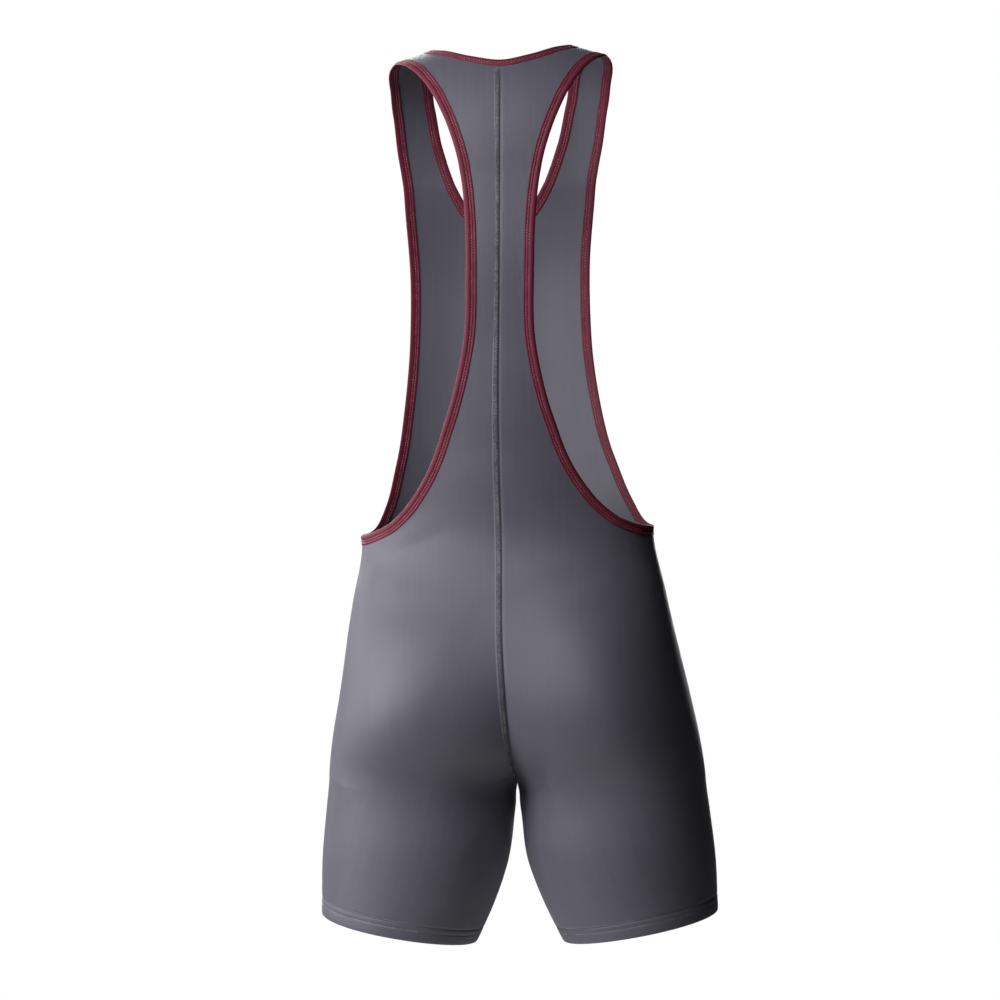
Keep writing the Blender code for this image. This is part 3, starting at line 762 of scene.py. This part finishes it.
def make_ring(addresses, mirror, towards):
    """A closed line on the figure, with its directions out of the cloth and off the line."""
    addresses = np.array(addresses)
    line = on_figure(addresses[:, 0], addresses[:, 1]) * mirror
    normals = surface_normal(addresses[:, 0], addresses[:, 1]) * mirror
    middle = np.abs(line[:, 0]) < SEAM_GAP
    line[middle, 0] = 0.0
    normals[middle, 0] = 0.0
    normals /= np.linalg.norm(normals, axis=1, keepdims=True)
    along = np.roll(line, -1, axis=0) - np.roll(line, 1, axis=0)
    across = np.cross(along, normals)
    across /= np.linalg.norm(across, axis=1, keepdims=True)
    signs = np.sign(np.einsum("ij,ij->i", across, towards(line)))
    return Ring(line, normals, across * signs[:, None])


def band_points(ring, profile, side):
    """Points over the figure at each pair of a profile in millimetres, and the cloth's directions there."""
    distance, height = np.array(profile).T * MILLIMETRE
    flat = ring.line[:, None] + ring.outward[:, None] * distance[None, :, None]
    beside = np.abs(distance) > ON_EDGE_LINE
    spots = np.where(beside[None, :, None], onto_figure(flat), flat)
    spots = mirrored(spots, side)
    normals = mirrored(np.repeat(ring.normals[:, None], len(distance), axis=1), side)
    height = height[None] + form_relief(spots)
    points = spots + normals * height[..., None]
    return posed(points), facing_of(points, normals)


def even_steps(line, step):
    """Addresses a step apart along a line, with both of its ends."""
    length = run_along(on_figure(line[:, 0], line[:, 1]))[-1]
    return along_line(line, np.linspace(0, 1, max(int(length / step), 2) + 1))


def armhole_ring():
    back, front = (even_steps(armhole(face), BINDING_STEP) for face in (BACK, FRONT))
    addresses = np.concatenate([back[:-1], front[:0:-1]])
    no_mirror = np.ones((len(addresses), 3))
    return make_ring(addresses, no_mirror, lambda line: line.mean(axis=0) + (HOLE_OUTSIDE, 0.0, 0.0) - line)


def neck_ring():
    back, front = (even_steps(neckline(face), BINDING_STEP) for face in (BACK, FRONT))
    half = np.concatenate([back[::-1], front[1:]])
    addresses = np.concatenate([half, half[-2:0:-1]])
    mirror = np.ones((len(addresses), 3))
    mirror[len(half):, 0] = -1.0
    return make_ring(addresses, mirror, lambda line: np.array([0.0, 0.0, NECK_ABOVE]) - line)


def hem_ring():
    shares = np.linspace(0, 1, ROW_SAMPLES)
    rows = []
    for face in (BACK, FRONT):
        start, end = (edge[-1] for edge in panel_edges(face))
        row = np.stack(row_address(start, end, shares, 1.0), axis=-1)
        rows.append(even_steps(row, HEM_STEP))
    addresses = np.concatenate([rows[0][:-1], rows[1][:0:-1]])
    no_mirror = np.ones((len(addresses), 3))
    return make_ring(addresses, no_mirror, lambda line: np.array([0.0, 0.0, -1.0]) + 0 * line)


def make_band(node, ring, profile, side, finish):
    points, _ = band_points(ring, profile, side)
    return wear(closed_ring(node + "_fold", points), node, finish)


# ---- stitches
Row = namedtuple("Row", "points facing closed")


def band_row(ring, distance, height, side):
    points, facing = band_points(ring, ((distance, height),), side)
    return Row(points[:, 0], facing[:, 0], True)


def panel_row(surface, rows, columns, inside=False):
    """A line of stitches down or across a panel, on its outer or its inner face."""
    facing = surface.facing[rows, columns] * (-1 if inside else 1)
    layer = surface.inner if inside else surface.outer
    return Row(layer[rows, columns] + facing * THREAD_LIFT, facing, False)


def stitch_tree(finish):
    """Lays one thread stitch after another along lines, each turned to the cloth under it."""
    tree = bpy.data.node_groups.new("Stitch rows", "GeometryNodeTree")
    tree.interface.new_socket("Lines", in_out="INPUT", socket_type="NodeSocketGeometry")
    for name in STITCH_SIZES:
        tree.interface.new_socket(name, in_out="INPUT", socket_type="NodeSocketFloat")
    tree.interface.new_socket("Stitches", in_out="OUTPUT", socket_type="NodeSocketGeometry")

    nodes = Nodes(tree)
    add = nodes.node
    given = tree.nodes.new("NodeGroupInput").outputs[: len(STITCH_SIZES) + 1]
    lines, spacing, longest, width, height, slant, stray = (Wire(nodes, socket) for socket in given)
    curves = add("GeometryNodeMeshToCurve", {"Mesh": lines})
    spots = add("GeometryNodeResampleCurve", {"Curve": curves, "Length": spacing}, mode="LENGTH")
    facing = add("GeometryNodeInputNamedAttribute", {"Name": "facing"}, data_type="FLOAT_VECTOR")
    tangent = add("GeometryNodeInputTangent", {})
    upright = add(
        "FunctionNodeAxesToRotation",
        {"Primary Axis": facing, "Secondary Axis": tangent},
        primary_axis="Z", secondary_axis="X",
    )
    odd = nodes.sum("MODULO", add("GeometryNodeInputIndex", {}), 2.0)
    sign = nodes.sum("MULTIPLY_ADD", odd, 2.0, -1.0)
    wobble = add("FunctionNodeRandomValue", {2: stray * -1.0, 3: stray, "Seed": TURN_SEED}, output=1)
    angles = add("ShaderNodeCombineXYZ", {"Z": sign * slant + wobble})
    local = add("FunctionNodeEulerToRotation", {"Euler": angles})
    rotation = add(
        "FunctionNodeRotateRotation", {"Rotation": upright, "Rotate By": local}, rotation_space="LOCAL"
    )
    shortest = longest * SHORTEST_STITCH
    length = add("FunctionNodeRandomValue", {2: shortest, 3: longest, "Seed": LENGTH_SEED}, output=1)
    scale = add("ShaderNodeCombineXYZ", {"X": length, "Y": width, "Z": height})
    thread = add(
        "GeometryNodeMeshUVSphere",
        {"Segments": THREAD_SEGMENTS, "Rings": THREAD_RINGS, "Radius": 0.5},
    )
    stitches = add(
        "GeometryNodeInstanceOnPoints",
        {"Points": spots, "Instance": thread, "Rotation": rotation, "Scale": scale},
    )
    solid = add("GeometryNodeRealizeInstances", {"Geometry": stitches})
    smooth = add("GeometryNodeSetShadeSmooth", {"Geometry": solid})
    sewn = add("GeometryNodeSetMaterial", {"Geometry": smooth, "Material": finish})
    nodes.join(tree.nodes.new("NodeGroupOutput").inputs["Stitches"], sewn)
    return tree


Thread = namedtuple("Thread", "slot finish tree")


def make_thread(name, tones, slot):
    finish = thread_finish(name, tones)
    return Thread(slot, finish, stitch_tree(finish))


def sew(name, rows, sizes, thread):
    """A piece of stitches along the rows, all of one kind."""
    points, facing, edges = [], [], []
    for row in rows:
        first = sum(map(len, points))
        count = len(row.points)
        edges += [(first + i, first + i + 1) for i in range(count - 1)]
        if row.closed:
            edges.append((first + count - 1, first))
        points.append(row.points)
        facing.append(row.facing)
    lines = bpy.data.meshes.new(name)
    lines.from_pydata(np.concatenate(points).tolist(), edges, [])
    attribute = lines.attributes.new("facing", "FLOAT_VECTOR", "POINT")
    attribute.data.foreach_set("vector", np.concatenate(facing).astype(np.float32).ravel())
    piece = add_object(name, lines)
    rows_modifier = piece.modifiers.new("Stitch rows", "NODES")
    rows_modifier.node_group = thread.tree
    for item in thread.tree.interface.items_tree:
        if item.in_out == "INPUT" and item.name in sizes:
            rows_modifier[item.identifier] = sizes[item.name]
    graph = bpy.context.evaluated_depsgraph_get()
    sewn = bpy.data.meshes.new_from_object(piece.evaluated_get(graph))
    piece.modifiers.remove(rows_modifier)
    piece.data = sewn
    return wear(piece, None, thread.finish)


# ---- finishes
class Wire:
    """A value in a node tree. Sums on it add their Math nodes."""

    def __init__(self, nodes, socket):
        self.nodes = nodes
        self.socket = socket

    def __add__(self, other):
        return self.nodes.sum("ADD", self, other)

    def __mul__(self, other):
        return self.nodes.sum("MULTIPLY", self, other)

    __radd__ = __add__
    __rmul__ = __mul__


class Nodes:
    """A node tree, and one method that adds any node to it."""

    def __init__(self, tree):
        self.tree = tree

    def node(self, kind, inputs, output=0, **settings):
        made = self.tree.nodes.new(kind)
        for name, value in settings.items():
            setattr(made, name, value)
        for name, value in inputs.items():
            self.join(made.inputs[name], value)
        return Wire(self, made.outputs[output])

    def join(self, socket, value):
        if isinstance(value, Wire):
            self.tree.links.new(value.socket, socket)
        else:
            socket.default_value = value

    def sum(self, operation, *values):
        return self.node("ShaderNodeMath", dict(enumerate(values)), operation=operation)


class Finish(Nodes):
    """A material with one shader."""

    def __init__(self, name):
        self.material = bpy.data.materials.new(name)
        self.material.use_nodes = True
        super().__init__(self.material.node_tree)
        self.shader = self.tree.nodes["Principled BSDF"]

    def surface(self, **sockets):
        for name, value in sockets.items():
            self.join(self.shader.inputs[name.replace("_", " ")], value)

    def grain(self):
        """Distances across and along the cloth, in millimetres."""
        uv = self.node("ShaderNodeUVMap", {}, uv_map="grain")
        across, along = (self.node("ShaderNodeSeparateXYZ", {0: uv}, output=axis) for axis in "XY")
        return across * (1 / MILLIMETRE), along * (1 / MILLIMETRE)

    def waves(self, distance, length):
        """The angle reached along waves of one length."""
        return distance * (2 * math.pi / length)

    def noise(self, across, along):
        spot = self.node("ShaderNodeCombineXYZ", {"X": across, "Y": along})
        return self.noise_at(spot, 1.0, 2.0)

    def noise_at(self, spot, scale, detail):
        return self.node("ShaderNodeTexNoise", {"Vector": spot, "Scale": scale, "Detail": detail})

    def mix(self, factor, tones):
        first, second = tones
        return self.node(
            "ShaderNodeMix", {"Factor": factor, "A": (*first, 1.0), "B": (*second, 1.0)},
            output="Result", data_type="RGBA",
        )

    def bump(self, height, strength, distance):
        sockets = {"Height": height, "Strength": strength, "Distance": distance}
        return self.node("ShaderNodeBump", sockets)


def knit_finish():
    """Smooth stretch jersey: fine ribs along the grain, a satin gloss and faint streaks."""
    knit = Finish("grey stretch knit")
    across, along = knit.grain()
    streak = knit.noise(across * 0.22, along * 0.006)
    fine = knit.noise(across * 1.1, along * 0.03)
    mottle = knit.noise(across * 0.03, along * 0.03)
    wales = knit.waves(across, WALE)
    rib = knit.sum("SINE", wales)
    course = knit.sum("SINE", knit.waves(along, COURSE) + wales)
    knit.surface(
        Base_Color=knit.mix(streak * 0.45 + fine * 0.25 + mottle * 0.3, KNIT_TONES),
        Roughness=0.40 + 0.12 * streak,
        Normal=knit.bump(rib * 0.7 + course * 0.3 + fine * 0.6, 0.35, 0.00012),
        Specular_IOR_Level=0.55, Sheen_Weight=0.25, Sheen_Roughness=0.35,
        Sheen_Tint=(0.85, 0.85, 1.0, 1.0),
    )
    return knit.material


def binding_finish():
    """Maroon rib strip, ribs across it, mottled in two scales."""
    strip = Finish("maroon binding")
    across, along = strip.grain()
    fine = strip.noise(across * 1.6, along * 0.9)
    patch = strip.noise(across * 0.2, along * 0.05)
    rib = strip.sum("SINE", strip.waves(along, BINDING_RIB))
    strip.surface(
        Base_Color=strip.mix(fine * 0.6 + patch * 0.4, BINDING_TONES),
        Roughness=0.50 + 0.15 * fine,
        Normal=strip.bump(rib * 0.6 + fine * 0.8, 0.5, 0.00015),
        Specular_IOR_Level=0.48, Sheen_Weight=0.04,
    )
    return strip.material


def thread_finish(name, tones):
    """Twisted sewing thread."""
    thread = Finish(name)
    spot = thread.node("ShaderNodeTexCoord", {}, output="Object")
    tone = thread.noise_at(spot, 420.0, 2.0)
    run = thread.noise_at(spot, 60.0, 1.0)
    twist = thread.noise_at(spot, 2600.0, 1.0)
    worn = thread.node(
        "ShaderNodeMapRange",
        {"Value": tone * 0.6 + run * 0.4, "From Min": 0.42, "From Max": 0.66},
    )
    thread.surface(
        Base_Color=thread.mix(worn, tones), Roughness=0.5,
        Normal=thread.bump(twist, 0.5, 0.0001), Sheen_Weight=0.1,
    )
    return thread.material


# ---- the garment
def make_garment():
    knit = knit_finish()
    strip = binding_finish()
    pink = make_thread("binding thread", PINK_TONES, "maroon_binding")
    silver = make_thread("seam thread", SILVER_TONES, "grey_knit")
    pale = make_thread("hem thread", PALE_TONES, "grey_knit")
    pieces, surfaces = {}, {}
    threads = defaultdict(list)

    def sew_on(node, name, rows, sizes, thread):
        threads[node].append(sew(name, rows, sizes, thread))

    def bind(name, ring, side):
        pieces[name] = make_band(name, ring, BINDING_PROFILE, side, strip)
        rows = [band_row(ring, *place, side) for place in BINDING_ROWS]
        sew_on(name, name + "_stitches", rows, BINDING_STITCH, pink)

    for face in (BACK, FRONT):
        for side in (LEFT, RIGHT):
            panel = make_panel(face, side, knit)
            pieces[panel_name(face, side)], surfaces[face, side] = panel
    leg_ring = hem_ring()
    hole_ring = armhole_ring()
    for side in (LEFT, RIGHT):
        name = f"leg_hem_{SIDE_WORD[side]}"
        pieces[name] = make_band(name, leg_ring, HEM_PROFILE, side, knit)
        rows = [band_row(leg_ring, *HEM_LOWER_ROW, side)]
        for face in (BACK, FRONT):
            rows.append(panel_row(surfaces[face, side], HEM_UPPER_ROW, slice(None)))
        sew_on(name, name + "_stitches", rows, HEM_STITCH, pale)
        bind(f"armhole_binding_{SIDE_WORD[side]}", hole_ring, side)
    bind("neck_binding", neck_ring(), LEFT)
    for face in (BACK, FRONT):
        node = panel_name(face, LEFT)
        surface = surfaces[face, LEFT]
        down = slice(surface.panel.neck_rows, surface.panel.crotch_row + 1)
        for ending, column, inside, sizes in (
            ("zigzag", ALLOWANCE_MIDDLE, False, ZIGZAG_STITCH),
            ("edge", ALLOWANCE_OUTSIDE, False, SEAM_STITCH),
            ("looping", ALLOWANCE_MIDDLE, True, LOOPER_STITCH),
        ):
            name = f"centre_{FACE_WORD[face]}_seam_{ending}"
            sew_on(node, name, [panel_row(surface, down, column, inside)], sizes, silver)
    for side in (LEFT, RIGHT):
        node = panel_name(BACK, side)
        surface = surfaces[BACK, side]
        beside = slice(surface.panel.side_row + LOOPER_FROM, surface.panel.over_hem)
        below = slice(surface.panel.crotch_row + LOOPER_FROM, surface.panel.over_hem)
        rows = [
            panel_row(surface, beside, SIDE_ALLOWANCE, inside=True),
            panel_row(surface, below, ALLOWANCE_MIDDLE, inside=True),
        ]
        sew_on(node, node + "_looping", rows, LOOPER_STITCH, silver)
    return pieces, threads


def declare_sheets(pieces, threads):
    for kind, cut in CUTS.items():
        for name in [name for name in pieces if name.startswith(kind)]:
            pieces[name]
            cut[:2]
            cut[2]
            threads[name]


# ---- the studio
def softbox(name, place, aim, size, power, colour):
    light = bpy.data.lights.new(name, "AREA")
    light.shape = "RECTANGLE"
    light.size, light.size_y = size
    light.energy = power
    light.color = colour
    lamp = add_object(name, light)
    lamp.location = place
    lamp.rotation_euler = (Vector(aim) - Vector(place)).to_track_quat("-Z", "Y").to_euler()


def make_studio():
    for lamp in SOFTBOXES:
        softbox(*lamp)
    bpy.ops.mesh.primitive_plane_add(size=FLOOR_SIZE, location=(0.0, 0.0, FLOOR_HEIGHT))
    floor = bpy.context.active_object
    floor.name = "studio_floor"
    pale = Finish("pale floor")
    spot = pale.node("ShaderNodeTexCoord", {}, output="Object")
    reach = pale.node("ShaderNodeVectorMath", {0: spot}, output="Value", operation="LENGTH")
    fade = pale.node(
        "ShaderNodeMapRange",
        {"Value": reach, "From Min": FLOOR_SOLID, "From Max": FLOOR_SIZE / 2, "To Min": 1.0, "To Max": 0.0},
    )
    pale.surface(Base_Color=FLOOR_TONE, Roughness=0.9, Alpha=fade)
    floor.data.materials.append(pale.material)


def make_world():
    """White behind the garment for the camera, and almost no light from all round."""
    world = bpy.data.worlds.new("studio")
    bpy.context.scene.world = world
    world.use_nodes = True
    sky = Nodes(world.node_tree)
    seen = sky.node("ShaderNodeLightPath", {}, output="Is Camera Ray")
    level = sky.node("ShaderNodeMapRange", {"Value": seen, "To Min": WORLD_GLOW, "To Max": WORLD_SEEN})
    shade = sky.tree.nodes["Background"].inputs
    sky.join(shade["Strength"], level)
    sky.join(shade["Color"], (*WHITE, 1.0))


def plain_colours():
    """Paper white stays white, and the cloth keeps its own tones."""
    bpy.context.scene.view_settings.view_transform = "Standard"


def make_camera():
    lens = bpy.data.cameras.new("photo_camera")
    lens.sensor_width = SENSOR
    lens.lens = SENSOR * CAMERA_DISTANCE / FRAME_WIDTH
    camera = add_object("photo_camera", lens)
    camera.location = (FRAME_CENTRE_X, CAMERA_DISTANCE, FRAME_CENTRE_Z)
    camera.rotation_euler = (math.radians(90), 0.0, math.radians(180))
    bpy.context.scene.camera = camera


make_camera()
plain_colours()
make_studio()
make_world()
pieces, threads = make_garment()
declare_sheets(pieces, threads)
bpy.context.view_layer.update()
